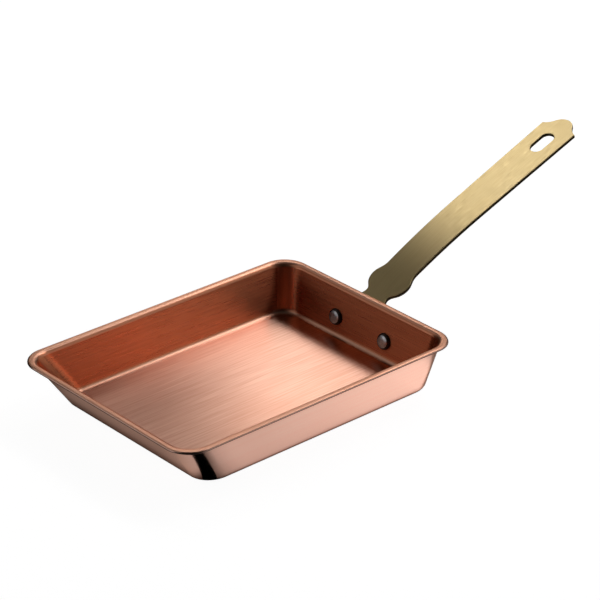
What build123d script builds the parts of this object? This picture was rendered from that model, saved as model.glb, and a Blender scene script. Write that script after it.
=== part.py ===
from build123d import *
from math import cos, radians, sin, tan
import os

# Tamagoyaki pan: a pressed copper pan, a bent brass strip as its handle, and two domed rivets.
# Millimetres and degrees. The origin lies on the resting plane under the middle of the rim.
# +X points to the handle, +Z up, and the slanting pouring end faces -X.

# Pan sheet and rim
sheet = 1.2
rim_length = 181.4
rim_width = 130.0
rim_corner_radius = 13.9
pan_height = 27.6
flange_overhang = 3.1
rim_bend_radius = 1.8
rim_edge_radius = 0.45

# Pan walls: each one leans outwards by its flare
side_flare = 11.3
handle_end_flare = 10.8
pouring_end_flare = 34.4
wall_corner_radius = 13.2
floor_bend_radius = 3.5

# Handle strip in side view: the strip passes under the rim's edge with a small gap
strip = 2.0
neck_bend_radius = 6.0
neck_clearance = 1.1
neck_rise = 28.0
neck_length = 50.7
arch_radius = 490.0
grip_rise = 20.9
grip_length = 112.2

# Handle outline: each corner's place along the neck, measured from the wall, and the strip's
# width there, before the corner is rounded
neck_end_from_wall = 2.8
waist_from_wall = 9.9
collar_from_wall = 17.4
throat_from_wall = 27.3
neck_width = 19.4
waist_width = 14.4
collar_width = 29.4
throat_width = 20.5
waist_radius = 3.2
collar_radius = 8.9
throat_radius = 9.0

# Handle tip: a round nub between two drawn-in shoulders, and the hanging slot
tip_width = 23.6
shoulder_from_tip = 8.0
nub_radius = 7.2
nub_half_angle = 59.3
slot_length = 15.9
slot_width = 7.8
slot_from_tip = 21.6

# Wing of the strip that lies on the wall: a lobe round each rivet, below the neck
lobe_width = 12.8
wing_fillet_radius = 6.0

# Rivets
rivet_spacing = 36.5
rivet_height = 10.5
shank_diameter = 5.0
shank_clearance = 0.05
head_diameter = 9.0
head_height = 2.2
head_lip = 0.5

# How far a cutting block runs past what it cuts
cut_overrun = 4.0

# Sizes that follow from the ones above
half_length = rim_length / 2
half_width = rim_width / 2
flange_underside = pan_height - sheet
neck_outer_bend = neck_bend_radius + strip
handle_lean = radians(handle_end_flare)
rise_at_neck = radians(neck_rise)
rise_at_grip = radians(grip_rise)


def wall_reach(half_rim, flare, height, inset=0.0):
    """Distance from the middle of the rim to a wall's face at a height above the resting plane."""
    lean = radians(flare)
    drop = flange_underside - height
    return half_rim - flange_overhang - drop * tan(lean) - inset / cos(lean)


def pressed_form(inset, floor, top):
    """Block with the pan's walls and floor, drawn in from their outer faces by the inset."""

    def lengthways(height):
        pouring_end = wall_reach(half_length, pouring_end_flare, height, inset)
        handle_end = wall_reach(half_length, handle_end_flare, height, inset)
        return (-pouring_end, height), (handle_end, height)

    def across(height):
        side = wall_reach(half_width, side_flare, height, inset)
        return (-side, height), (side, height)

    with BuildPart() as form:
        with BuildSketch(Plane.XZ):
            with BuildLine():
                Polyline(*lengthways(floor), *reversed(lengthways(top)), close=True)
            make_face()
        extrude(amount=rim_width, both=True)
        with BuildSketch(Plane.YZ):
            with BuildLine():
                Polyline(*across(floor), *reversed(across(top)), close=True)
            make_face()
        extrude(amount=rim_length, both=True, mode=Mode.INTERSECT)
        level_edges = form.edges().filter_by(Axis.X) + form.edges().filter_by(Axis.Y)
        upright_edges = form.edges() - level_edges
        fillet(upright_edges, radius=wall_corner_radius - inset)
        floor_face = form.faces().filter_by(Axis.Z).sort_by(Axis.Z)[0]
        fillet(floor_face.edges(), radius=floor_bend_radius + sheet - inset)
    return form.part


# Outer face of the handle-end wall, centred between the rivets: local x runs across the pan,
# local y up the wall, and the normal points away from the pan
rivet_row_x = wall_reach(half_length, handle_end_flare, rivet_height)
wall_normal = (cos(handle_lean), 0, -sin(handle_lean))
wall_plane = Plane(origin=(rivet_row_x, 0, rivet_height), x_dir=(0, 1, 0), z_dir=wall_normal)
rivet_hole_radius = shank_diameter / 2 + shank_clearance


def level_faces(builder):
    """Flat level faces, lowest first: underside, floor, flange underside and flange top."""
    return builder.faces().filter_by(Axis.Z).sort_by(Axis.Z)


# Pan body: pressed walls and floor, with a flange bent outwards all round
with BuildPart() as pan_body:
    add(pressed_form(0, 0, flange_underside))
    with BuildSketch(Plane.XY.offset(flange_underside)):
        RectangleRounded(rim_length, rim_width, rim_corner_radius)
    extrude(amount=sheet)
    add(pressed_form(sheet, sheet, pan_height + cut_overrun), mode=Mode.SUBTRACT)
    flange_mouth = level_faces(pan_body)[-1].inner_wires()[0]
    fillet(flange_mouth.edges(), radius=rim_bend_radius + sheet)
    flange_root = level_faces(pan_body)[-2].inner_wires()[0]
    fillet(flange_root.edges(), radius=rim_bend_radius)
    flange_underface, flange_topface = level_faces(pan_body)[-2:]
    rim_edges = flange_underface.outer_wire().edges() + flange_topface.outer_wire().edges()
    fillet(rim_edges, radius=rim_edge_radius)
    with BuildSketch(wall_plane):
        with GridLocations(rivet_spacing, 0, 2, 1):
            Circle(rivet_hole_radius)
    extrude(amount=cut_overrun, both=True, mode=Mode.SUBTRACT)
pan_body.part.label = "pan_body"

# Handle in side view, along the face that touches the wall: up the wall, round the neck bend
# under the flange, along the neck, and over a gentle arch to the straight grip
wall_foot_x = wall_reach(half_length, handle_end_flare, 0)
neck_under_rim = flange_underside - neck_clearance
neck_over_foot = neck_under_rim - (half_length - wall_foot_x) * tan(rise_at_neck)
corner_z = neck_over_foot / (1 - tan(rise_at_neck) * tan(handle_lean))
corner_x = wall_foot_x + corner_z * tan(handle_lean)
arch_x = corner_x + neck_length * cos(rise_at_neck)
arch_z = corner_z + neck_length * sin(rise_at_neck)
tip_x = arch_x + grip_length * cos(rise_at_grip)
tip_z = arch_z + grip_length * sin(rise_at_grip)
wing_foot_x = rivet_row_x - lobe_width / 2 * sin(handle_lean)
wing_foot_z = rivet_height - lobe_width / 2 * cos(handle_lean)

# The neck and grip are cut to outline square to the grip, and the wing square to the wall;
# the two cutting blocks meet in the neck bend
grip_plane = Plane(
    origin=(arch_x, 0, arch_z),
    x_dir=(cos(rise_at_grip), 0, sin(rise_at_grip)),
    z_dir=(-sin(rise_at_grip), 0, cos(rise_at_grip)),
)
neck_fall = neck_length * sin(rise_at_neck - rise_at_grip)
stem_height = (corner_z - rivet_height) / cos(handle_lean)
neck_start = (-neck_length, neck_width / 2)
neck_end = (neck_end_from_wall - neck_length, neck_width / 2)
waist = (waist_from_wall - neck_length, waist_width / 2)
collar = (collar_from_wall - neck_length, collar_width / 2)
throat = (throat_from_wall - neck_length, throat_width / 2)
shoulder = (grip_length - shoulder_from_tip, tip_width / 2)

with BuildPart() as outline:
    with BuildSketch(grip_plane):
        with BuildLine():
            FilletPolyline(
                neck_start, neck_end, waist, collar, throat, shoulder,
                radius=(waist_radius, waist_radius, collar_radius, throat_radius),
            )
            nub = CenterArc((grip_length - nub_radius, 0), nub_radius, 0, nub_half_angle)
            TangentArc(nub @ 1, shoulder, tangent=nub % 1)
            Polyline(nub @ 0, (-neck_length, 0), neck_start)
        make_face()
        mirror(about=Plane.XZ)
        with Locations((grip_length - slot_from_tip, 0)):
            SlotOverall(slot_length, slot_width, mode=Mode.SUBTRACT)
    extrude(amount=neck_fall + strip + cut_overrun, both=True)
    with BuildSketch(wall_plane):
        SlotCenterToCenter(rivet_spacing, lobe_width)
        Rectangle(neck_width, stem_height, align=(Align.CENTER, Align.MIN))
        lobe_tops = vertices().group_by(Axis.Y)[1]
        fillet(lobe_tops.sort_by(lambda corner: abs(corner.X))[:2], radius=wing_fillet_radius)
    extrude(amount=neck_outer_bend, both=True)

with BuildPart() as handle:
    with BuildLine(Plane.XZ) as side_view:
        FilletPolyline(
            (wing_foot_x, wing_foot_z), (corner_x, corner_z), (arch_x, arch_z), (tip_x, tip_z),
            radius=(neck_outer_bend, arch_radius),
        )
    run = side_view.line
    with BuildSketch(Plane(origin=run @ 0, x_dir=(0, 1, 0), z_dir=run % 0)):
        Rectangle(rivet_spacing + lobe_width, strip, align=(Align.CENTER, Align.MAX))
    sweep()
    add(outline.part, mode=Mode.INTERSECT)
    with BuildSketch(wall_plane):
        with GridLocations(rivet_spacing, 0, 2, 1):
            Circle(rivet_hole_radius)
    extrude(amount=strip + cut_overrun, mode=Mode.SUBTRACT)
handle.part.label = "handle"


def domed_rivet(name, across_pan):
    """Rivet through wall and strip, with a domed head seated on each side."""
    centre = wall_plane.from_local_coords((across_pan, 0, 0))
    section = Plane(
        origin=centre, x_dir=(0, 1, 0), z_dir=(-sin(handle_lean), 0, -cos(handle_lean))
    )
    head = head_diameter / 2
    shank = shank_diameter / 2
    inner_seat = -sheet
    outer_seat = strip
    with BuildPart() as rivet:
        with BuildSketch(section):
            with BuildLine():
                inner_dome = TangentArc(
                    (0, inner_seat - head_height), (head, inner_seat - head_lip), tangent=(1, 0)
                )
                outer_dome = TangentArc(
                    (0, outer_seat + head_height), (head, outer_seat + head_lip), tangent=(1, 0)
                )
                Polyline(
                    inner_dome @ 1, (head, inner_seat), (shank, inner_seat),
                    (shank, outer_seat), (head, outer_seat), outer_dome @ 1,
                )
                Line(outer_dome @ 0, inner_dome @ 0)
            make_face()
        revolve(axis=Axis(centre, wall_normal))
    rivet.part.label = name
    return rivet.part


rivet_places = {"rivet_left": rivet_spacing / 2, "rivet_right": -rivet_spacing / 2}
rivets = [domed_rivet(name, across_pan) for name, across_pan in rivet_places.items()]

os.makedirs("parts", exist_ok=True)
for piece in (pan_body.part, handle.part, *rivets):
    export_step(piece, f"parts/{piece.label}.step")
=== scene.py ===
"""Looks of a copper tamagoyaki pan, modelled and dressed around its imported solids.

Lengths are in metres and angles in degrees, in the frame of the solids: the origin lies on the
resting plane under the middle of the rim, +X points to the handle and +Z up.
"""

import logging
from collections.abc import Callable, Iterable, Iterator
from contextlib import contextmanager
from dataclasses import dataclass
from enum import Enum, IntEnum
from functools import cache, reduce
from math import atan2, cos, degrees, pi, radians, sin, tan

import bmesh
import bpy
from mathutils import Matrix, Vector


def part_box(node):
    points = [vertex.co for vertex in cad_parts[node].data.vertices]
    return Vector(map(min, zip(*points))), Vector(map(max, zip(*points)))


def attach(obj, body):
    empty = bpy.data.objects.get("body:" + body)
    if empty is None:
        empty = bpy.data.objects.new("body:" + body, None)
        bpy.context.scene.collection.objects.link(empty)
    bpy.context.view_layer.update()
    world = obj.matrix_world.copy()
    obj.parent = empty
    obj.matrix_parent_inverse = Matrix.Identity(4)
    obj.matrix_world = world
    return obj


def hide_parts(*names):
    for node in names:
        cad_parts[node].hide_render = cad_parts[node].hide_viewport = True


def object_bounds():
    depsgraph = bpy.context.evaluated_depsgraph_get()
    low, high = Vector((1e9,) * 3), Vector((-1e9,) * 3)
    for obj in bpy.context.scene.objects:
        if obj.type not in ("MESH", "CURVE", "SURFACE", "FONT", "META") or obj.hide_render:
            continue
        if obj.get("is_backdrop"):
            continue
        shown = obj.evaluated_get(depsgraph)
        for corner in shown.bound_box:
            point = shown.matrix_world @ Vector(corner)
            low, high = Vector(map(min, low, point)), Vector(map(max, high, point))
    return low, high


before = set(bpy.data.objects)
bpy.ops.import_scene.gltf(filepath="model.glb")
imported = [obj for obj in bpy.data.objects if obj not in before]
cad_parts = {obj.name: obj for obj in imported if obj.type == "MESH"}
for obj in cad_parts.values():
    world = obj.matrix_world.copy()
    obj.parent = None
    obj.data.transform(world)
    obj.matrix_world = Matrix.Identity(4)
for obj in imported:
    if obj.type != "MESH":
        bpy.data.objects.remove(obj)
CAD_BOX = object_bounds()

MM = 0.001
TINY = 0.01 * MM
# Faces whose normals agree this far, as a cosine, count as one flat
FLAT = 0.9995
# Angles from which an edge is a bend of the sheet, is sharp, and is shaded as sharp, in degrees
BEND_ANGLE = 30.0
SHARP_ANGLE = 60.0
SHADING_ANGLE = 40.0
log = logging.getLogger("pan")

Colour = tuple[float, float, float, float]
Point = tuple[float, float, float]
Span = tuple[float, float]
Piece = bpy.types.Object
Socket = bpy.types.NodeSocket
Sockets = bpy.types.bpy_prop_collection
Vert = bmesh.types.BMVert
Edge = bmesh.types.BMEdge
Face = bmesh.types.BMFace


class Pick(Enum):
    """What a selection in edit mode is made of."""

    VERTS = "VERT"
    EDGES = "EDGE"
    FACES = "FACE"


class Axis(IntEnum):
    """A level axis of the frame."""

    X = 0
    Y = 1


def unselect_all() -> None:
    """Leave no object selected."""
    for other in bpy.context.selected_objects:
        other.select_set(False)


def choose(piece: Piece) -> None:
    """Make one object the only selected and the active one."""
    unselect_all()
    piece.select_set(True)
    bpy.context.view_layer.objects.active = piece


@contextmanager
def editing(piece: Piece) -> Iterator[None]:
    """Open a piece in edit mode with nothing selected, and close it afterwards.

    Args:
        piece: The mesh object to edit.

    Returns:
        A context in which the mesh operators work on the piece.
    """
    choose(piece)
    bpy.ops.object.mode_set(mode="EDIT")
    bpy.ops.mesh.select_all(action="DESELECT")
    yield
    bpy.ops.object.mode_set(mode="OBJECT")


def pick(piece: Piece, kind: Pick, wanted: Callable[..., bool]) -> None:
    """Select the elements that pass a test, and no others, in edit mode.

    Args:
        piece: The mesh object in edit mode.
        kind: Whether vertices, edges or faces are selected.
        wanted: The test, which is given one element.
    """
    bpy.ops.mesh.select_mode(type=kind.value)
    bpy.ops.mesh.select_all(action="DESELECT")
    mesh = bmesh.from_edit_mesh(piece.data)
    for element in getattr(mesh, kind.name.lower()):
        if wanted(element):
            element.select_set(True)
    mesh.select_flush_mode()
    bmesh.update_edit_mesh(piece.data)


def pick_all() -> None:
    """Select the whole mesh in edit mode."""
    bpy.ops.mesh.select_all(action="SELECT")


def assign(piece: Piece, slot: int, wanted: Callable[[Face], bool]) -> None:
    """Put the faces that pass a test into a material slot.

    Args:
        piece: The mesh object.
        slot: The material slot's number.
        wanted: The test, which is given one face.
    """
    with editing(piece):
        pick(piece, Pick.FACES, wanted)
        piece.active_material_index = slot
        bpy.ops.object.material_slot_assign()


def add_slots(piece: Piece, count: int) -> None:
    """Add empty material slots to a piece."""
    for _ in range(count):
        piece.data.materials.append(None)


def add_plane(place: Point = (0, 0, 0), size: float = 1.0) -> Piece:
    """Add a level square, which is then the only selected object."""
    unselect_all()
    bpy.ops.mesh.primitive_plane_add(size=size, location=place)
    return bpy.context.object


def settle() -> None:
    """Put the active object's place, turn and size into its mesh."""
    bpy.ops.object.transform_apply(location=True, rotation=True, scale=True)


def shift(x: float = 0.0, y: float = 0.0, z: float = 0.0) -> None:
    """Move what is selected in edit mode."""
    bpy.ops.transform.translate(value=(x, y, z))


def raise_x(angle: float, centre: Point) -> None:
    """Turn what is selected in edit mode about a cross axis, so that its +X side comes up.

    Args:
        angle: The turn; a negative one lowers the +X side.
        centre: A point on the axis, which runs along Y.
    """
    bpy.ops.transform.rotate(
        value=radians(angle), orient_axis="Y", orient_type="GLOBAL", center_override=centre
    )


def apply_modifier(piece: Piece, kind: str, **settings: object) -> None:
    """Add a modifier to a piece and apply it.

    Args:
        piece: The mesh object that the modifier changes.
        kind: The modifier's type.
        **settings: The modifier's properties by name.
    """
    choose(piece)
    modifier = piece.modifiers.new(kind.title(), kind)
    for name, value in settings.items():
        setattr(modifier, name, value)
    bpy.ops.object.modifier_apply(modifier=modifier.name)


def thicken(piece: Piece, thickness: float, **offsets: int) -> None:
    """Give a surface piece its thickness behind its faces.

    Args:
        piece: The mesh object, a single surface with its normals outwards.
        thickness: The sheet's or strip's thickness.
        **offsets: How far the new faces move along the piece's two material slots.
    """
    add_slots(piece, 2)
    apply_modifier(
        piece, "SOLIDIFY", thickness=thickness, offset=-1.0, use_even_offset=True, **offsets
    )


def round_edges(
    piece: Piece, least: float, width: float, steps: int, share: Callable[[Edge], float]
) -> None:
    """Round a piece's edges from an angle on, each over its own share of a width.

    Args:
        piece: The mesh object.
        least: The angle from which an edge is rounded, in degrees.
        width: The rounding's width where the share is 1.
        steps: How many faces the rounding has across.
        share: Gives an edge's share.
    """
    with editing(piece):
        mesh = bmesh.from_edit_mesh(piece.data)
        layers = mesh.edges.layers.float
        weights = layers.get("bevel_weight_edge") or layers.new("bevel_weight_edge")
        for edge in mesh.edges:
            rounded = edge.calc_face_angle(0) > radians(least)
            edge[weights] = share(edge) if rounded else 0.0
        bmesh.update_edit_mesh(piece.data)
    settings = {"limit_method": "WEIGHT", "width": width, "segments": steps}
    apply_modifier(piece, "BEVEL", use_clamp_overlap=False, **settings)


def fillet_width(radius: float, turn: float) -> float:
    """Distance from a corner to where an arc of a radius starts, for a turn in radians."""
    return radius * tan(turn / 2)


class Wiring:
    """Adds nodes to one node tree and links them."""

    def __init__(self, tree: bpy.types.NodeTree) -> None:
        """Keep the tree to work on."""
        self.tree = tree

    def add(
        self, kind: str, values: dict[str | int, object] | None = None, **settings: object
    ) -> bpy.types.Node:
        """Add a node.

        Args:
            kind: The node's type.
            values: What goes into its sockets, by name or number: a value or another socket.
            **settings: The node's own properties by name.

        Returns:
            The new node.
        """
        node = self.tree.nodes.new(kind)
        for name, value in settings.items():
            setattr(node, name, value)
        for socket, value in (values or {}).items():
            if isinstance(value, Socket):
                self.tree.links.new(value, node.inputs[socket])
            else:
                node.inputs[socket].default_value = value
        return node

    def math(self, operation: str, first: object, second: object) -> Socket:
        """Combine two numbers and give the result's socket."""
        return self.add("ShaderNodeMath", {0: first, 1: second}, operation=operation).outputs[0]

    def spread(self, value: Socket, low: float, high: float) -> Socket:
        """Turn a value from 0 to 1 into one from low to high."""
        levels = {"Value": value, "To Min": low, "To Max": high}
        return self.add("ShaderNodeMapRange", levels).outputs["Result"]

    def noise(self, place: Socket, scale: object, detail: float) -> Socket:
        """Add a noise texture and give its value's socket."""
        values = {"Vector": place, "Scale": scale, "Detail": detail}
        return self.add("ShaderNodeTexNoise", values).outputs["Fac"]

    def contrast(self, value: Socket, low: float, high: float) -> Socket:
        """Stretch the part of a value between low and high to 0 to 1, smoothly."""
        levels = {"Value": value, "From Min": low, "From Max": high}
        node = self.add("ShaderNodeMapRange", levels, interpolation_type="SMOOTHSTEP")
        return node.outputs["Result"]

    def product(self, factors: Iterable[Socket]) -> Socket:
        """Multiply numbers and give the result's socket."""
        return reduce(lambda first, second: self.math("MULTIPLY", first, second), factors)

    def blend(self, share: Socket, first: object, second: object) -> Socket:
        """Mix two colours and give the result's socket."""
        values = {0: share, 6: first, 7: second}
        return self.add("ShaderNodeMix", values, data_type="RGBA").outputs[2]

    def shader(self, kind: str, **values: object) -> Socket:
        """Add a shader and give its socket."""
        return self.add(f"ShaderNode{kind}", values).outputs[0]

    def mix(self, share: Socket, first: Socket, second: Socket) -> Socket:
        """Mix two shaders and give the result's socket."""
        return self.add("ShaderNodeMixShader", {0: share, 1: first, 2: second}).outputs[0]

    def shining(self, colour: object, strength: object) -> Socket:
        """Add a matt surface that also shines, and give its socket."""
        matt = self.shader("BsdfDiffuse", Color=colour)
        light = self.shader("Emission", Strength=strength)
        return self.add("ShaderNodeAddShader", {0: matt, 1: light}).outputs[0]

    def end(self, surface: Socket, kind: str = "Material") -> None:
        """Make a shader the surface of the material or world."""
        self.add(f"ShaderNodeOutput{kind}", {"Surface": surface})


def new_group(name: str, inputs: tuple[str, ...], outputs: tuple[str, ...]) -> bpy.types.NodeTree:
    """Start a shader node group that works numbers out of a place and other numbers.

    Args:
        name: The group's name.
        inputs: The names of the numbers that it takes beside the place.
        outputs: The names of the numbers that it gives.

    Returns:
        The group, still without nodes.
    """
    group = bpy.data.node_groups.new(name, "ShaderNodeTree")
    sockets = group.interface
    sockets.new_socket(name="Place", in_out="INPUT", socket_type="NodeSocketVector")
    for way, names in (("INPUT", inputs), ("OUTPUT", outputs)):
        for socket in names:
            sockets.new_socket(name=socket, in_out=way, socket_type="NodeSocketFloat")
    return group


@cache
def grain_group() -> bpy.types.NodeTree:
    """Make the group for the fine lines that an abrasive leaves along a metal face.

    Returns:
        A group that turns a place in metres into streaks and hairlines from 0 to 1.
    """
    group = new_group("abrasive_grain", ("Along", "Across"), ("Streaks", "Hairlines"))
    wires = Wiring(group)
    given = wires.add("NodeGroupInput").outputs
    counts = wires.add("ShaderNodeCombineXYZ", {"X": given["Along"], "Y": given["Across"]})
    stretched = wires.add(
        "ShaderNodeVectorMath", {0: given["Place"], 1: counts.outputs[0]}, operation="MULTIPLY"
    ).outputs[0]
    streaks = wires.contrast(wires.noise(stretched, 1.0, 3.0), 0.25, 0.75)
    hairlines = wires.contrast(wires.noise(stretched, 2.7, 1.0), 0.3, 0.7)
    wires.add("NodeGroupOutput", {"Streaks": streaks, "Hairlines": hairlines})
    return group


@cache
def drift_group() -> bpy.types.NodeTree:
    """Make the group for the slow change of tone over a worked or handled face.

    Returns:
        A group that turns a place in metres into a soft drift and small specks from 0 to 1.
    """
    group = new_group("tone_drift", ("Count",), ("Drift", "Specks"))
    wires = Wiring(group)
    given = wires.add("NodeGroupInput").outputs
    drift = wires.contrast(wires.noise(given["Place"], given["Count"], 2.0), 0.3, 0.7)
    specks = wires.contrast(wires.noise(given["Place"], 900.0, 2.0), 0.35, 0.75)
    wires.add("NodeGroupOutput", {"Drift": drift, "Specks": specks})
    return group


def clear_material(name: str) -> tuple[bpy.types.Material, Wiring]:
    """Start a material.

    Args:
        name: The material's name.

    Returns:
        The material and the wiring of its tree, which has no nodes yet.
    """
    material = bpy.data.materials.new(name)
    material.use_nodes = True
    material.node_tree.nodes.clear()
    return material, Wiring(material.node_tree)


@dataclass(frozen=True, kw_only=True)
class Metal:
    """What the metal finishes share: two tones, a range of roughness and a fine relief."""

    name: str
    bright: Colour
    dull: Colour
    roughness: Span
    relief: float

    def end(
        self, wires: Wiring, unevenness: Socket, height: Socket, strength: float, **looks: object
    ) -> None:
        """End the finish's material in a metal shader.

        Args:
            wires: The material's tree.
            unevenness: Where the metal lies between its two roughnesses, from 0 to 1.
            height: What its relief follows, from 0 to 1.
            strength: How much of the relief shows.
            **looks: The shader's other inputs by name, with _ for a space.
        """
        bump = {"Height": height, "Strength": strength, "Distance": self.relief}
        values = {
            "Metallic": 1.0,
            "Roughness": wires.spread(unevenness, *self.roughness),
            "Normal": wires.add("ShaderNodeBump", bump).outputs["Normal"],
        }
        values |= {name.replace("_", " "): value for name, value in looks.items()}
        wires.end(wires.add("ShaderNodeBsdfPrincipled", values).outputs["BSDF"])


@dataclass(frozen=True, kw_only=True)
class WorkedMetal(Metal):
    """A metal face with the lines of its last abrasive and a slow drift of tone."""

    drifted: Colour
    relief: float = 0.1 * MM
    stretch: float = 0.0
    stretch_turn: float = 0.25
    along: float = 4.0
    across: float = 900.0
    drift_count: float = 14.0
    drift_share: float = 0.3
    groove: float = 0.0
    edge_tint: Colour = (1.0, 0.7, 0.55, 1)

    def material(self) -> bpy.types.Material:
        """Make the finish's material.

        Returns:
            A material whose lines run along the first axis of the piece's map.
        """
        material, wires = clear_material(self.name)
        places = wires.add("ShaderNodeTexCoord").outputs
        lines = {"Place": places["UV"], "Along": self.along, "Across": self.across}
        grain = wires.add("ShaderNodeGroup", lines, node_tree=grain_group()).outputs
        tones = {"Place": places["Object"], "Count": self.drift_count}
        drift = wires.add("ShaderNodeGroup", tones, node_tree=drift_group()).outputs
        lined = wires.blend(grain["Streaks"], self.dull, self.bright)
        share = wires.spread(drift["Drift"], 0.0, self.drift_share)
        self.end(
            wires,
            grain["Hairlines"],
            grain["Streaks"],
            self.groove,
            Base_Color=wires.blend(share, lined, self.drifted),
            Specular_Tint=self.edge_tint,
            Anisotropic=self.stretch,
            Anisotropic_Rotation=self.stretch_turn,
            Tangent=wires.add("ShaderNodeTangent", direction_type="UV_MAP").outputs["Tangent"],
        )
        return material


@dataclass(frozen=True, kw_only=True)
class BeatenMetal(Metal):
    """A soft metal head that a hammer or die has closed, with small dents and specks."""

    relief: float = 0.05 * MM
    dent_count: float = 700.0
    dent_depth: float = 0.35

    def material(self) -> bpy.types.Material:
        """Make the finish's material.

        Returns:
            A material with its dents and specks in the piece's own coordinates.
        """
        material, wires = clear_material(self.name)
        place = wires.add("ShaderNodeTexCoord").outputs["Object"]
        dents = {"Place": place, "Count": self.dent_count}
        drift = wires.add("ShaderNodeGroup", dents, node_tree=drift_group()).outputs
        tone = wires.blend(drift["Drift"], self.dull, self.bright)
        self.end(wires, drift["Specks"], drift["Drift"], self.dent_depth, Base_Color=tone)
        return material


COPPER_FLOOR = WorkedMetal(
    name="copper_floor",
    bright=(0.89, 0.56, 0.43, 1),
    dull=(0.74, 0.39, 0.28, 1),
    drifted=(0.72, 0.36, 0.245, 1),
    roughness=(0.31, 0.37),
    stretch=1.0,
    along=28.0,
    across=1050.0,
    groove=0.04,
)
# Darker, redder copy of the copper for the walls: painted shade, which stands for the dimmer light and
# the light bounced between the walls
COPPER_WALL_PAINTED_SHADE = WorkedMetal(
    name="copper_wall_painted_shade",
    bright=(0.77, 0.24, 0.115, 1),
    dull=(0.65, 0.19, 0.088, 1),
    drifted=(0.63, 0.17, 0.072, 1),
    roughness=(0.27, 0.33),
    stretch=1.0,
    along=16.0,
    groove=0.04,
)
# Redder copy of the copper for the bends and corners: painted reflection of copper in copper, which
# stands for light bounced between the walls
COPPER_BENT_PAINTED_REFLECTION = WorkedMetal(
    name="copper_bent_painted_reflection",
    bright=(0.87, 0.35, 0.20, 1),
    dull=(0.84, 0.33, 0.185, 1),
    drifted=(0.80, 0.30, 0.16, 1),
    roughness=(0.31, 0.33),
    across=150.0,
)
COPPER_RIM = WorkedMetal(
    name="copper_rim",
    bright=(0.92, 0.50, 0.345, 1),
    dull=(0.89, 0.46, 0.31, 1),
    drifted=(0.85, 0.41, 0.26, 1),
    roughness=(0.33, 0.36),
    along=10.0,
    across=80.0,
)
COPPER_OUTSIDE = WorkedMetal(
    name="copper_polished",
    bright=(0.84, 0.52, 0.42, 1),
    dull=(0.82, 0.49, 0.39, 1),
    drifted=(0.78, 0.44, 0.34, 1),
    roughness=(0.17, 0.21),
    stretch=0.3,
    across=500.0,
    edge_tint=(1.0, 0.78, 0.66, 1),
)
BRASS_FACE = WorkedMetal(
    name="brass_satin",
    bright=(0.91, 0.715, 0.38, 1),
    dull=(0.84, 0.64, 0.32, 1),
    drifted=(0.80, 0.585, 0.26, 1),
    roughness=(0.30, 0.40),
    stretch=0.5,
    along=60.0,
    across=1400.0,
    edge_tint=(1.0, 0.9, 0.6, 1),
)
# Near-black brass for the strip's sides: painted shade, which stands for the dark that the sides
# reflect
BRASS_EDGE_PAINTED_SHADE = WorkedMetal(
    name="brass_edge_painted_shade",
    bright=(0.12, 0.085, 0.04, 1),
    dull=(0.06, 0.04, 0.02, 1),
    drifted=(0.04, 0.03, 0.015, 1),
    roughness=(0.35, 0.5),
    along=200.0,
)
RIVET_CROWN = BeatenMetal(
    name="aluminium_crown",
    bright=(0.75, 0.75, 0.78, 1),
    dull=(0.58, 0.58, 0.60, 1),
    roughness=(0.30, 0.36),
)
# Near-black aluminium for the heads' steep sides: painted shade, the dark ring round each dome
RIVET_SIDE_PAINTED_SHADE = BeatenMetal(
    name="aluminium_painted_shade",
    bright=(0.10, 0.08, 0.07, 1),
    dull=(0.05, 0.035, 0.03, 1),
    roughness=(0.35, 0.45),
)


class Part:
    """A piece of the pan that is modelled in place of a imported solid."""

    node: str
    slot: str
    finishes: tuple[WorkedMetal | BeatenMetal, ...]
    piece: Piece

    def build(self) -> None:
        """Model the piece, each part in its own way."""
        raise NotImplementedError

    def dress(self) -> None:
        """Shade the built piece, map it in metres, give it its finishes and body, and hide the solid
        that it stands in for.
        """
        choose(self.piece)
        bpy.ops.object.shade_smooth_by_angle(angle=radians(SHADING_ANGLE))
        apply_modifier(self.piece, "WEIGHTED_NORMAL", keep_sharp=True, weight=80)
        with editing(self.piece):
            pick_all()
            bpy.ops.uv.cube_project(cube_size=1.0)
        for index, finish in enumerate(self.finishes):
            self.piece.data.materials[index] = finish.material()
        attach(self.piece, "root")
        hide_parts(self.node)
        log.info("%s: %d faces", self.piece.name, len(self.piece.data.polygons))


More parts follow.
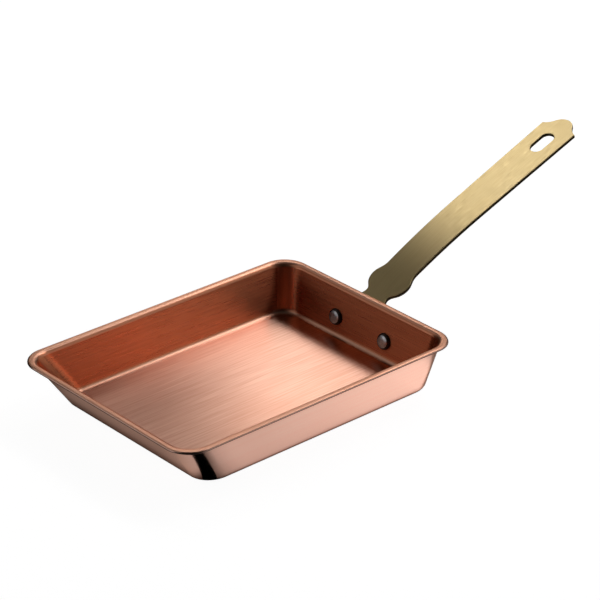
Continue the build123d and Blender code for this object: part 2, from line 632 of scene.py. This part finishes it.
@dataclass
class PanShell(Part):
    """The pressed copper pan: floor, four leaning walls and a flat rim that turns outwards.

    The outer size comes from the solid. Flares and the brush's reach are in degrees.
    """

    node = "pan_body"
    slot = "copper"
    finishes = (COPPER_FLOOR, COPPER_OUTSIDE, COPPER_BENT_PAINTED_REFLECTION, COPPER_WALL_PAINTED_SHADE, COPPER_RIM)

    sheet: float = 1.2 * MM
    overhang: float = 3.1 * MM
    side_flare: float = 11.3
    handle_flare: float = 10.8
    pouring_flare: float = 34.4
    rim_corner: float = 13.9 * MM
    wall_corner: float = 13.2 * MM
    floor_bend: float = 3.5 * MM
    mouth_bend: float = 3.0 * MM
    brush_reach: float = 20.0
    lip_share: float = 0.2
    crease_share: float = 0.3
    upper_edge: float = 1.0 * MM
    lower_edge: float = 0.15 * MM
    corner_steps: int = 16
    bend_steps: int = 8
    edge_steps: int = 4

    def __post_init__(self) -> None:
        """Read the outer size from the solid, and list the walls' flares by axis and side."""
        low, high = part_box("pan_body")
        self.half_length = high.x
        self.half_width = high.y
        self.top = high.z
        self.floor = low.z + self.sheet
        self.flares = {
            (Axis.X, -1): self.pouring_flare,
            (Axis.X, 1): self.handle_flare,
            (Axis.Y, -1): self.side_flare,
            (Axis.Y, 1): self.side_flare,
        }

    def build(self) -> None:
        """Model the pan."""
        self._tapered_box()
        self._round_upright_edges()
        self._join_flange()
        self._round_bends()
        self._give_thickness()
        self._sort_faces()

    def inner_wall(self, axis: Axis, side: int, height: float) -> float:
        """Place of a wall's inner face at a height, before any corner or bend is rounded.

        Args:
            axis: The axis that the wall stands across.
            side: 1 or -1, the wall's side of the middle.
            height: Where the place is taken.

        Returns:
            The face's place along the axis.
        """
        lean = radians(self.flares[axis, side])
        half_rim = (self.half_length, self.half_width)[axis]
        drop = self.top - self.sheet - height
        inset = self.overhang + drop * tan(lean) + self.sheet / cos(lean)
        return side * (half_rim - inset)

    def outer_handle_wall(self, height: float) -> float:
        """Distance from the middle of the rim to the handle-end wall's outer face."""
        lean = radians(self.handle_flare)
        return self.inner_wall(Axis.X, 1, height) + self.sheet / cos(lean)

    def _tapered_box(self) -> None:
        """Start the piece as an open box of the pan's inner faces, with sharp corners."""
        feet = {wall: self.inner_wall(*wall, self.floor) for wall in self.flares}
        pouring, handle, right, left = feet.values()
        middle = Vector((pouring + handle, right + left, self.floor + self.top)) / 2
        unselect_all()
        size = (handle - pouring, left - right, self.top - self.floor)
        bpy.ops.mesh.primitive_cube_add(size=1.0, location=middle, scale=size)
        self.piece = bpy.context.object
        self.piece.name = "copper_pan"
        settle()
        with editing(self.piece):
            pick(self.piece, Pick.FACES, lambda face: face.normal.z > FLAT)
            bpy.ops.mesh.delete(type="ONLY_FACE")
            for (axis, side), foot in feet.items():

                def on_mouth(vert: Vert) -> bool:
                    """Tell whether a vertex is at the wall's upper edge."""
                    offset = vert.co - middle
                    return offset.z > 0 and offset[axis] * side > 0

                pick(self.piece, Pick.VERTS, on_mouth)
                step = Vector()
                step[axis] = self.inner_wall(axis, side, self.top) - foot
                shift(*step)
            pick_all()
            bpy.ops.mesh.flip_normals()

    def _round_upright_edges(self) -> None:
        """Round the four upright edges, each pair by its own angle."""
        for side in (-1, 1):

            def upright(edge: Edge) -> bool:
                """Tell whether an edge is an upright one on this side."""
                first, second = (vert.co for vert in edge.verts)
                return abs(first.z - second.z) > (self.top - self.floor) / 2 and first.x * side > 0

            with editing(self.piece):
                pick(self.piece, Pick.EDGES, upright)
                mesh = bmesh.from_edit_mesh(self.piece.data)
                turn = next(edge.calc_face_angle() for edge in mesh.edges if edge.select)
                width = fillet_width(self.wall_corner - self.sheet, turn)
                bpy.ops.mesh.bevel(offset=width, segments=self.corner_steps, affect="EDGES")

    def _join_flange(self) -> None:
        """Draw the rim's outline round the pan's mouth and bridge the two."""
        outline = add_plane((0, 0, self.top))
        outline.scale = (2 * self.half_length, 2 * self.half_width, 1)
        settle()
        with editing(outline):
            pick_all()
            bpy.ops.mesh.bevel(offset=self.rim_corner, segments=self.corner_steps, affect="VERTICES")
            pick_all()
            bpy.ops.mesh.delete(type="ONLY_FACE")
        choose(self.piece)
        outline.select_set(True)
        bpy.ops.object.join()
        with editing(self.piece):
            pick(self.piece, Pick.EDGES, self._on_top)
            bpy.ops.mesh.bridge_edge_loops()
            pick(self.piece, Pick.FACES, lambda face: face.normal.z < -FLAT)
            bpy.ops.mesh.flip_normals()

    def _on_top(self, edge: Edge) -> bool:
        """Tell whether an edge lies in the rim's top face."""
        return all(vert.co.z > self.top - TINY for vert in edge.verts)

    def _round_bends(self) -> None:
        """Round the bend at the floor and the one at the mouth, each at its own radius."""
        widest = max(self.floor_bend, self.mouth_bend)

        def share(edge: Edge) -> float:
            """Give an edge's share of the wider bend."""
            at_floor = all(vert.co.z < self.floor + TINY for vert in edge.verts)
            radius = self.floor_bend if at_floor else self.mouth_bend
            return fillet_width(radius, edge.calc_face_angle()) / widest

        round_edges(self.piece, BEND_ANGLE, widest, self.bend_steps, share)

    def _give_thickness(self) -> None:
        """Thicken the sheet outwards and round the rim's edges, the upper one widely."""
        thicken(self.piece, self.sheet, material_offset=1, material_offset_rim=1)

        def share(edge: Edge) -> float:
            """Give an edge's share of the upper rounding."""
            return 1.0 if self._on_top(edge) else self.lower_edge / self.upper_edge

        round_edges(self.piece, SHARP_ANGLE, self.upper_edge, self.edge_steps, share)

    def _sort_faces(self) -> None:
        """Sort the inner faces into slots: floor, corners, walls, and the rim with the crease."""
        walls = []
        for (axis, side), flare in self.flares.items():
            lean = radians(flare)
            walls.append(Vector((0, 0, sin(lean))))
            walls[-1][axis] = -side * cos(lean)
        brushed = cos(radians(self.brush_reach))
        low = self.floor + self.floor_bend
        high = self.top - self.mouth_bend
        crease = self.floor + self.crease_share * self.floor_bend
        lip = self.top - self.lip_share * self.mouth_bend

        def on_wall(face: Face) -> bool:
            """Tell whether a face is brushed along a wall."""
            limit = brushed if face.calc_center_median().z < high else FLAT
            flat = any(face.normal.dot(normal) > limit for normal in walls)
            return face.material_index == 0 and flat

        def on_bend(face: Face) -> bool:
            """Tell whether an inner face is none of the floor's."""
            on_floor = face.normal.z > brushed and face.calc_center_median().z < low
            return face.material_index == 0 and not on_floor

        def on_lip(face: Face) -> bool:
            """Tell whether a face belongs to the rim or to the crease round the floor."""
            level = face.calc_center_median().z
            return face.material_index == 2 and not crease <= level <= lip

        # Slots 3 and 2 hold darker, redder copies of the copper: painted shade on the walls and painted
        # reflection in the bends
        add_slots(self.piece, 3)
        for slot, wanted in ((3, on_wall), (2, on_bend), (4, on_lip)):
            assign(self.piece, slot, wanted)


class Pencil:
    """Draws an outline in edit mode, edge by edge, from one vertex."""

    def __init__(self, name: str, start: Point) -> None:
        """Start a new mesh object that holds a single vertex.

        Args:
            name: The object's name.
            start: Where the outline starts.
        """
        self.piece = add_plane(start)
        self.piece.name = name
        settle()
        self.at = Vector(start)
        choose(self.piece)
        bpy.ops.object.mode_set(mode="EDIT")
        bpy.ops.mesh.select_mode(type="VERT")
        pick_all()
        bpy.ops.mesh.merge(type="CENTER")

    def line_to(self, place: Point) -> None:
        """Draw a straight edge to a place."""
        step = Vector(place) - self.at
        bpy.ops.mesh.extrude_vertices_move(TRANSFORM_OT_translate={"value": step})
        self.at = Vector(place)

    def arc(self, centre: Point, sweep: float, steps: int) -> None:
        """Draw an arc in the level plane.

        Args:
            centre: The arc's centre.
            sweep: The arc's angle, anticlockwise from above where it is positive.
            steps: How many edges the arc has.
        """
        turn = radians(sweep)
        bpy.ops.mesh.spin(steps=steps, angle=-turn, center=centre, axis=(0, 0, 1))
        spoke = self.at - Vector(centre)
        self.at = Vector(centre) + Matrix.Rotation(turn, 3, "Z") @ spoke

    def finish(self) -> Piece:
        """Close the outline, fill it and leave edit mode.

        Returns:
            The mesh object, a single face.
        """
        pick_all()
        bpy.ops.mesh.remove_doubles(threshold=TINY)
        bpy.ops.mesh.edge_face_add()
        bpy.ops.object.mode_set(mode="OBJECT")
        return self.piece


@dataclass
class HandleStrip(Part):
    """The brass strip: a wing on the pan's wall, a bent neck, an arched grip and a slotted tip.

    Its corners are given from the wall, as on the solid, and its angles in degrees.
    """

    node = "handle"
    slot = "brass"
    finishes = (BRASS_FACE, BRASS_EDGE_PAINTED_SHADE)

    pan: PanShell
    thickness: float = 2.0 * MM
    neck_bend: float = 6.0 * MM
    neck_clearance: float = 1.1 * MM
    neck_rise: float = 28.0
    neck_length: float = 50.7 * MM
    arch_radius: float = 490.0 * MM
    grip_rise: float = 20.9
    grip_length: float = 112.2 * MM
    # Corners of the neck: distance from the wall, width and rounding radius
    neck_foot: Point = (2.8 * MM, 19.4 * MM, 3.2 * MM)
    waist: Point = (9.9 * MM, 14.4 * MM, 3.2 * MM)
    collar: Point = (17.4 * MM, 29.4 * MM, 8.9 * MM)
    throat: Point = (27.3 * MM, 20.5 * MM, 9.0 * MM)
    tip_width: float = 23.6 * MM
    shoulder_from_tip: float = 8.0 * MM
    nub_radius: float = 7.2 * MM
    nub_angle: float = 59.3
    slot_length: float = 15.9 * MM
    slot_width: float = 7.8 * MM
    slot_from_tip: float = 21.6 * MM
    lobe_width: float = 12.8 * MM
    wing_fillet: float = 6.0 * MM
    rivet_spacing: float = 36.5 * MM
    rivet_height: float = 10.5 * MM
    edge: float = 0.4 * MM
    edge_steps: int = 3
    neck_steps: int = 10
    arch_steps: int = 20
    lobe_steps: int = 24
    nub_steps: int = 14
    tip_steps: int = 10
    corner_step: float = 5.0

    def __post_init__(self) -> None:
        """Work out where the strip leaves the wall and where its bends lie."""
        pan = self.pan
        self.lean = radians(pan.handle_flare)
        rise = radians(self.neck_rise)
        self.foot_x = pan.outer_handle_wall(0.0)
        self.row_x = self.foot_x + self.rivet_height * tan(self.lean)
        under_rim = pan.top - pan.sheet - self.neck_clearance
        over_foot = under_rim - (pan.half_length - self.foot_x) * tan(rise)
        corner_z = over_foot / (1 - tan(rise) * tan(self.lean))
        wall_run = (corner_z - self.rivet_height) / cos(self.lean) + self.lobe_width / 2
        self.neck_turn = pi / 2 - self.lean - rise
        self.arch_turn = rise - radians(self.grip_rise)
        bend = self.neck_bend + self.thickness
        self.bend_reach = fillet_width(bend, self.neck_turn)
        self.bend_start = wall_run - self.bend_reach
        self.bend_run = bend * self.neck_turn
        self.arch_reach = fillet_width(self.arch_radius, self.arch_turn)
        self.arch_run = self.arch_radius * self.arch_turn
        neck_run = self.neck_length - self.bend_reach - self.arch_reach
        self.arch_start = self.bend_start + self.bend_run + neck_run
        self.tip = self.on_grip(self.grip_length)
        self.shoulder = Vector((self.tip - self.shoulder_from_tip, self.tip_width / 2, 0))

    def on_neck(self, from_wall: float) -> float:
        """Place along the flat blank of a point of the neck.

        Args:
            from_wall: The point's distance from the wall, seen square to the grip.

        Returns:
            The distance from the wing's foot along the blank.
        """
        before_arch = (self.neck_length - from_wall) / cos(self.arch_turn)
        past_corner = self.neck_length - before_arch
        if past_corner < self.bend_reach:
            share = (past_corner + self.bend_reach) / (2 * self.bend_reach)
            return self.bend_start + share * self.bend_run
        return self.bend_start + self.bend_run + past_corner - self.bend_reach

    def on_grip(self, from_arch: float) -> float:
        """Place along the flat blank of a point of the grip, from its distance past the arch."""
        return self.arch_start + self.arch_run + from_arch - self.arch_reach

    def build(self) -> None:
        """Model the strip as a flat blank and bend it."""
        self._half_blank()
        self._round_corners()
        apply_modifier(
            self.piece, "MIRROR", use_axis=(False, True, False), use_clip=True, merge_threshold=TINY
        )
        self._bend()
        self._give_thickness()

    def _corners(self) -> list[tuple[Vector, float]]:
        """List the corners of half the neck's outline.

        Returns:
            Each corner's place on the blank and its rounding radius, from the wing.
        """
        corners = [(Vector((self.lobe_width, self.neck_foot[1] / 2, 0)), self.wing_fillet)]
        for from_wall, width, radius in (self.neck_foot, self.waist, self.collar, self.throat):
            corners.append((Vector((self.on_neck(from_wall), width / 2, 0)), radius))
        return corners

    def _half_blank(self) -> None:
        """Draw one half of the flat blank, with half of the hanging slot left out."""
        rivet_y = self.rivet_spacing / 2
        pencil = Pencil("brass_handle", (0, 0, 0))
        pencil.line_to((0, rivet_y, 0))
        pencil.arc((self.lobe_width / 2, rivet_y, 0), -180, self.lobe_steps)
        for corner, _ in self._corners():
            pencil.line_to(corner)
        pencil.line_to(self.shoulder)
        centre, sweep = self._shoulder_arc()
        pencil.arc(centre, sweep, self.tip_steps)
        pencil.arc((self.tip - self.nub_radius, 0, 0), -self.nub_angle, self.nub_steps)
        slot = self.tip - self.slot_from_tip
        half_slot = self.slot_width / 2
        half_straight = self.slot_length / 2 - half_slot
        far, near = slot + half_straight, slot - half_straight
        for centre_x, start in ((far, (far + half_slot, 0, 0)), (near, (near, half_slot, 0))):
            pencil.line_to(start)
            pencil.arc((centre_x, 0, 0), 90, self.tip_steps)
        pencil.line_to((0, 0, 0))
        self.piece = pencil.finish()

    def _shoulder_arc(self) -> tuple[Vector, float]:
        """Arc that leads from the shoulder into the nub.

        Returns:
            The arc's centre and its sweep in degrees, positive anticlockwise.
        """
        angle = radians(self.nub_angle)
        centre = Vector((self.tip - self.nub_radius, 0, 0))
        outward = Vector((cos(angle), sin(angle), 0))
        meeting = centre + self.nub_radius * outward
        chord = self.shoulder - meeting
        # The arc's centre lies beyond the meeting point on the same spoke of the nub
        radius = chord.length_squared / (2 * chord.dot(outward))
        arc_centre = meeting + radius * outward
        start = self.shoulder - arc_centre
        end = meeting - arc_centre
        return arc_centre, degrees(atan2(start.cross(end).z, start.dot(end)))

    def _round_corners(self) -> None:
        """Round each corner of the half outline at its own radius."""
        places, radii = zip(*self._corners())
        before = (Vector((self.lobe_width, self.rivet_spacing / 2, 0)), *places[:-1])
        after = (*places[1:], self.shoulder)
        with editing(self.piece):
            for last, here, following, radius in zip(before, places, after, radii):
                turn = (here - last).angle(following - here)
                pick(self.piece, Pick.VERTS, lambda vert: (vert.co - here).length < TINY)
                steps = max(4, round(degrees(turn) / self.corner_step))
                width = fillet_width(radius, turn)
                bpy.ops.mesh.bevel(offset=width, segments=steps, affect="VERTICES")

    def _bend(self) -> None:
        """Bend the blank step by step from the tip to the wing, and stand it on the wall."""
        bends = (
            (self.arch_start, self.arch_run, self.arch_turn, self.arch_steps),
            (self.bend_start, self.bend_run, self.neck_turn, self.neck_steps),
        )
        with editing(self.piece):
            for start, run, turn, steps in bends:
                for step in reversed(range(steps)):
                    station = start + run * (step + 0.5) / steps
                    pick_all()
                    bpy.ops.mesh.bisect(plane_co=(station, 0, 0), plane_no=(1, 0, 0))
                    pick(self.piece, Pick.VERTS, lambda vert: vert.co.x > station + TINY)
                    raise_x(-degrees(turn) / steps, (station, 0, 0))
            pick_all()
            raise_x(90 - degrees(self.lean), (0, 0, 0))
            wing_half = self.lobe_width / 2
            shift(
                x=self.row_x - wing_half * sin(self.lean),
                z=self.rivet_height - wing_half * cos(self.lean),
            )

    def _give_thickness(self) -> None:
        """Thicken the strip away from the wall and round its edges."""
        with editing(self.piece):
            pick_all()
            mesh = bmesh.from_edit_mesh(self.piece.data)
            if max(mesh.faces, key=lambda face: face.calc_area()).normal.z < 0:
                bpy.ops.mesh.flip_normals()
        # The strip's sides take the second slot, whose near-black colour is painted shade
        thicken(self.piece, self.thickness, material_offset_rim=1)
        round_edges(self.piece, SHARP_ANGLE, self.edge, self.edge_steps, lambda edge: 1.0)
        assign(self.piece, 0, self._on_arris)

    def _on_arris(self, face: Face) -> bool:
        """Tell whether a face past the rim belongs to the rounding beside the strip's flats."""
        return abs(face.normal.z) > 0.5 and face.calc_center_median().x > self.pan.half_length


@dataclass
class Rivet(Part):
    """A rivet through the wall and the strip, with a flattened dome on each side."""

    slot = "rivet_metal"
    finishes = (RIVET_CROWN, RIVET_SIDE_PAINTED_SHADE)

    node: str
    strip: HandleStrip
    shank: float = 5.0 * MM
    head: float = 9.0 * MM
    height: float = 2.2 * MM
    fullness: float = 2.5
    # Angle from the rivet's axis past which a face takes the painted shade of the sides, in degrees
    crown: float = 24.0
    dome_steps: int = 12
    round_steps: int = 48

    def __post_init__(self) -> None:
        """Place the rivet by its solid and its seats by the sheet and the strip."""
        low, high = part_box(self.node)
        strip = self.strip
        self.place = Vector((strip.row_x, (low.y + high.y) / 2, strip.rivet_height))
        self.lean = strip.lean
        self.inner_seat = -strip.pan.sheet
        self.outer_seat = strip.thickness

    def _dome(self, seat: float, height: float) -> list[Point]:
        """Draw a head's section as a superellipse.

        Args:
            seat: Where the head sits along the rivet.
            height: The head's height, negative for the inner head.

        Returns:
            The section's points from the crown to the edge.
        """
        points = []
        for step in range(self.dome_steps + 1):
            angle = pi / 2 * step / self.dome_steps
            across = sin(angle) ** (2 / self.fullness)
            up = cos(angle) ** (2 / self.fullness) if step < self.dome_steps else 0.0
            points.append((seat + height * up, 0.0, self.head / 2 * across))
        return points

    def build(self) -> None:
        """Model the rivet by spinning its section."""
        inner = self._dome(self.inner_seat, -self.height)
        outer = self._dome(self.outer_seat, self.height)
        shank = self.shank / 2
        section = [
            *inner[1:],
            (self.inner_seat, 0.0, shank),
            (self.outer_seat, 0.0, shank),
            *reversed(outer),
        ]
        pencil = Pencil(self.node.replace("rivet", "rivet_dome"), inner[0])
        for point in section:
            pencil.line_to(point)
        pick_all()
        bpy.ops.mesh.spin(steps=self.round_steps, angle=2 * pi, center=(0, 0, 0), axis=(1, 0, 0))
        pick_all()
        bpy.ops.mesh.remove_doubles(threshold=TINY)
        bpy.ops.mesh.normals_make_consistent(inside=False)
        raise_x(-degrees(self.lean), (0, 0, 0))
        shift(*self.place)
        bpy.ops.object.mode_set(mode="OBJECT")
        self.piece = pencil.piece
        self._paint_shade_on_sides()

    def _paint_shade_on_sides(self) -> None:
        """Give the steep sides of both heads the second material slot, whose near-black colour is
        painted shade.
        """
        axis = Vector((cos(self.lean), 0, -sin(self.lean)))
        steep = cos(radians(self.crown))
        add_slots(self.piece, 2)
        assign(self.piece, 1, lambda face: abs(face.normal.dot(axis)) < steep)


@dataclass(frozen=True)
class Viewpoint:
    """The camera that fits the photograph's perspective. Its angles are in degrees."""

    place: Point = (-0.775373, -0.876047, 0.652588)
    azimuth: float = -42.967
    elevation: float = 27.042
    roll: float = 1.251
    lens: float = 159.06
    nearest: float = 0.01
    # Half a pixel of the photograph's 600
    nudge: float = 0.5 / 600

    def set_up(self) -> None:
        """Add the camera and make it the scene's."""
        data = bpy.data.cameras.new("camera")
        data.lens = self.lens
        data.shift_x = -self.nudge
        data.shift_y = self.nudge
        data.clip_start = self.nearest
        camera = bpy.data.objects.new("camera", data)
        bpy.context.scene.collection.objects.link(camera)
        camera.matrix_world = (
            Matrix.Translation(self.place)
            @ Matrix.Rotation(radians(self.azimuth), 4, "Z")
            @ Matrix.Rotation(radians(90 - self.elevation), 4, "X")
            @ Matrix.Rotation(radians(self.roll), 4, "Z")
        )
        bpy.context.scene.camera = camera

    def from_plan(self, place: Point) -> Vector:
        """Turn a place given as right, away and up from the camera's side into the frame's."""
        return Matrix.Rotation(radians(self.azimuth), 3, "Z") @ Vector(place)


@dataclass(frozen=True)
class Card:
    """A flat light panel or dark card outside the picture, placed as seen from the camera."""

    name: str
    middle: Point
    across: Point
    upward: Point
    strength: float
    border: float

    def build(self, viewpoint: Viewpoint) -> None:
        """Hang the card, which the camera doesn't see.

        Args:
            viewpoint: The camera whose plan the places are given in: right, away and up.
        """
        across = viewpoint.from_plan(self.across)
        upward = viewpoint.from_plan(self.upward)
        normal = across.cross(upward).normalized()
        turned = Matrix((across, upward, normal)).transposed().to_4x4()
        card = add_plane()
        card.name = self.name
        card.matrix_world = Matrix.Translation(viewpoint.from_plan(self.middle)) @ turned
        card.data.materials.append(self._glow(across.length, upward.length))
        card.visible_camera = False
        card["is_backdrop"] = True

    def _glow(self, width: float, height: float) -> bpy.types.Material:
        """Make the card's light, which fades out over its border.

        Args:
            width: The card's width.
            height: The card's height.

        Returns:
            The card's material.
        """
        material, wires = clear_material(self.name)
        place = wires.add("ShaderNodeTexCoord").outputs["Object"]
        apart = wires.add("ShaderNodeSeparateXYZ", {"Vector": place}).outputs
        light = wires.shader("Emission", Strength=self.strength)
        if self.border:
            fades = []
            for axis, length in ((Axis.X, width), (Axis.Y, height)):
                to_edge = wires.math("SUBTRACT", 0.5, wires.math("ABSOLUTE", apart[axis], 0.0))
                inward = wires.math("MULTIPLY", to_edge, length)
                fades.append(wires.contrast(inward, 0.0, self.border))
            light = wires.mix(wires.product(fades), wires.shader("BsdfTransparent"), light)
        wires.end(light)
        return material


@dataclass(frozen=True)
class SoftArea:
    """A soft rectangle on the paper, for what the metal alone sees there.

    Each of its ends is given by the places where the area starts and where it is full.
    """

    along: tuple[Span, Span]
    across: tuple[Span, Span]
    levels: Span
    rise_axis: Axis = Axis.X
    rise: Span = (0.0, 0.0)

    def mask(self, wires: Wiring, place: Sockets) -> Socket:
        """Mask of the area from the sockets of a place, 1 inside and 0 outside."""
        ends = [(Axis.X, end) for end in self.along] + [(Axis.Y, end) for end in self.across]
        return wires.product(wires.contrast(place[axis], *end) for axis, end in ends)

    def glow(self, wires: Wiring, place: Sockets) -> Socket:
        """Light of the area from the sockets of a place, which grows along one axis."""
        rise = wires.spread(wires.contrast(place[self.rise_axis], *self.rise), *self.levels)
        return wires.math("MULTIPLY", self.mask(wires, place), rise)


@dataclass(frozen=True)
class Studio:
    """Pale floor, white surroundings, and a booth of dark cards that holds soft light panels."""

    viewpoint: Viewpoint
    floor_size: float = 6.0
    floor_drop: float = 0.3 * MM
    paper: float = 0.9
    paper_shade: float = 0.25
    paper_glow: float = 0.95
    # Strength of the world as a light, and where it is seen
    surroundings: Span = (0.4, 1.0)
    # Painted shade on the paper, for the metal alone: it sees the paper at its full tone beside the
    # front wall, and darker elsewhere
    tone: SoftArea = SoftArea(
        along=((-90 * MM, -40 * MM), (260 * MM, 160 * MM)),
        across=((-110 * MM, -70 * MM), (60 * MM, 0.0)),
        levels=(0.2, 0.9),
    )
    # Strip of paper beside the front wall that the metal sees glowing, brighter to the handle
    strip: SoftArea = SoftArea(
        along=((-75 * MM, -40 * MM), (105 * MM, 88 * MM)),
        across=((-105 * MM, -72 * MM), (-55.6 * MM, -61.6 * MM)),
        levels=(0.61, 1.01),
        rise=(-40 * MM, 80 * MM),
    )
    # Fainter patch of painted light beside the pouring end, brighter to the front corner
    patch: SoftArea = SoftArea(
        along=((-120 * MM, -95 * MM), (-69 * MM, -75 * MM)),
        across=((-80 * MM, -62 * MM), (80 * MM, 45 * MM)),
        levels=(0.24, 0.50),
        rise_axis=Axis.Y,
        rise=(-15 * MM, -60 * MM),
    )
    # Black wedge of painted shadow on the paper off the pan's front corner, for the metal alone: it
    # stands for the contact shadow that the corner reflects
    wedge_centre: Span = (-56.3 * MM, -43.4 * MM)
    wedge_reach: Span = (10 * MM, 75 * MM)
    wedge_angles: Span = (212.0, 245.0)
    cards: tuple[Card, ...] = (
        Card("booth_top", (0, 0.15, 0.85), (3.0, 0, 0), (0, 3.3, 0), 0.02, 0.0),
        Card("booth_back", (0, 1.8, 0.42), (3.0, 0, 0), (0, 0, 0.9), 0.0, 0.0),
        Card("booth_left", (-1.5, 0.15, 0.42), (0, 3.3, 0), (0, 0, 0.9), 0.0, 0.0),
        Card("booth_right", (1.5, 0.15, 0.42), (0, 3.3, 0), (0, 0, 0.9), 0.34, 0.0),
        Card("booth_front", (0, -1.5, 0.42), (3.0, 0, 0), (0, 0, 0.9), 0.0, 0.0),
        Card("light_edge_near", (0.48, 0.435, 0.8), (0.277, 0.115, 0), (-0.172, 0.416, 0), 5.3, 0.1),
        Card("light_edge_mid", (0.28, 0.763, 0.8), (0.277, 0.115, 0), (-0.21, 0.508, 0), 3.3, 0.1),
        Card("light_edge_far", (0.112, 1.202, 0.8), (0.277, 0.115, 0), (-0.229, 0.554, 0), 1.5, 0.12),
        Card("light_top_right", (0.759, 0.355, 0.79), (0.218, 0.335, 0), (-0.469, 0.305, 0), 2.2, 0.1),
        Card("light_rim", (0.98, 0.06, 0.79), (0.3, 0, 0), (0, 0.4, 0), 1.6, 0.1),
        Card("dark_right_near", (0.972, 0.876, 0.78), (0.554, 0.229, 0), (-0.306, 0.739, 0), 0.0, 0.12),
        Card("dark_left", (-0.097, 0.845, 0.78), (0.37, 0.153, 0), (-0.497, 1.2, 0), 0.0, 0.12),
        Card("light_grip", (-0.1, 0.7, 0.76), (0.36, 0, 0), (0, 0.4, 0), 2.45, 0.1),
        Card("fill_top_left", (-0.85, -0.1, 0.8), (1.1, 0, 0), (0, 1.7, 0), 0.3, 0.2),
        Card("dark_top_front", (0.2, -0.6, 0.79), (1.2, 0, 0), (0, 0.9, 0), 0.0, 0.3),
        Card("fill_top_near", (0.25, 0.05, 0.79), (0.9, 0, 0), (0, 0.5, 0), 0.03, 0.15),
        Card("light_low", (-0.14, 1.39, 0.5), (0.4, 0, 0), (0, 0, 0.4), 1.6, 0.1),
        Card("fill_left", (-1.4, -0.5, 0.35), (0, 1.6, 0), (0, 0, 0.7), 0.72, 0.25),
        Card("fill_right", (1.4, -0.1, 0.35), (0, 1.0, 0), (0, 0, 0.7), 0.55, 0.25),
        Card("dark_right_front", (1.0, -1.0, 0.35), (0.6, 0.6, 0), (0, 0, 0.7), 0.0, 0.2),
    )

    def build(self) -> None:
        """Set up the floor, the surroundings and the cards."""
        self._lay_floor()
        self._surround()
        for card in self.cards:
            card.build(self.viewpoint)
        self._lay_painted_shadow_wedge()

    def _lay_floor(self) -> None:
        """Lay the floor just under the resting plane."""
        floor = add_plane((0, 0, -self.floor_drop), self.floor_size)
        floor.name = "studio_floor"
        material, wires = clear_material("white_paper")
        rays = wires.add("ShaderNodeLightPath").outputs
        place = wires.add("ShaderNodeTexCoord").outputs["Object"]
        apart = wires.add("ShaderNodeSeparateXYZ", {"Vector": place}).outputs
        # Painted shade and painted light on the paper, which only glossy and transmission rays see
        tone = wires.spread(self.tone.mask(wires, apart), *self.tone.levels)
        grey = wires.add("ShaderNodeCombineXYZ", dict.fromkeys("XYZ", tone)).outputs[0]
        # The strip and the patch add painted light where the metal sees the paper
        glow = wires.math("ADD", self.strip.glow(wires, apart), self.patch.glow(wires, apart))
        plain = wires.shader("BsdfDiffuse", Color=(*[self.paper] * 3, 1))
        mirrored = wires.shining(grey, glow)
        white = wires.shining((*[self.paper_shade] * 3, 1), self.paper_glow)
        in_metal = wires.math("MAXIMUM", rays["Is Glossy Ray"], rays["Is Transmission Ray"])
        paper = wires.mix(in_metal, plain, mirrored)
        wires.end(wires.mix(rays["Is Camera Ray"], paper, white))
        floor.data.materials.append(material)
        floor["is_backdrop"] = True

    def _surround(self) -> None:
        """Make the world dim as a light, and white for the camera, metal and glass."""
        world = bpy.data.worlds.new("surroundings")
        bpy.context.scene.world = world
        world.use_nodes = True
        world.node_tree.nodes.clear()
        wires = Wiring(world.node_tree)
        rays = wires.add("ShaderNodeLightPath").outputs
        seen = wires.math("MAXIMUM", rays["Is Camera Ray"], rays["Is Glossy Ray"])
        seen = wires.math("MAXIMUM", seen, rays["Is Transmission Ray"])
        lights = [
            wires.shader("Background", Color=(1, 1, 1, 1), Strength=level)
            for level in self.surroundings
        ]
        wires.end(wires.mix(seen, *lights), "World")

    def _lay_painted_shadow_wedge(self) -> None:
        """Lay the black wedge of painted shadow on the paper."""
        centre = Vector((*self.wedge_centre, -self.floor_drop / 2))
        near, far = self.wedge_reach
        first, last = self.wedge_angles
        corners = []
        for angle, reach in ((first, near), (first, far), (last, far), (last, near)):
            spoke = Matrix.Rotation(radians(angle), 3, "Z") @ Vector((reach, 0, 0))
            corners.append(centre + spoke)
        pencil = Pencil("painted_shadow_wedge", corners[0])
        for corner in corners[1:]:
            pencil.line_to(corner)
        wedge = pencil.finish()
        material, wires = clear_material("painted_shadow_wedge")
        # The wedge is black: painted shadow, seen only in reflections
        wires.end(wires.shader("BsdfDiffuse", Color=(0, 0, 0, 1)))
        wedge.data.materials.append(material)
        for ray in ("camera", "diffuse", "shadow"):
            setattr(wedge, f"visible_{ray}", False)
        wedge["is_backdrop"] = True


def write_sizes() -> None:
    boxes = {"cad": CAD_BOX, "visual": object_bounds()}
    plain = {name: [list(map(float, corner)) for corner in box] for name, box in boxes.items()}


def main() -> None:
    """Build the studio and the pan's pieces in order and report them."""
    logging.basicConfig(level=logging.INFO, format="%(message)s")
    bpy.context.scene.view_settings.view_transform = "Standard"
    viewpoint = Viewpoint()
    viewpoint.set_up()
    Studio(viewpoint).build()
    shell = PanShell()
    strip = HandleStrip(shell)
    for part in (shell, strip, Rivet("rivet_left", strip), Rivet("rivet_right", strip)):
        part.build()
        part.dress()
    write_sizes()


if __name__ == "__main__":
    main()
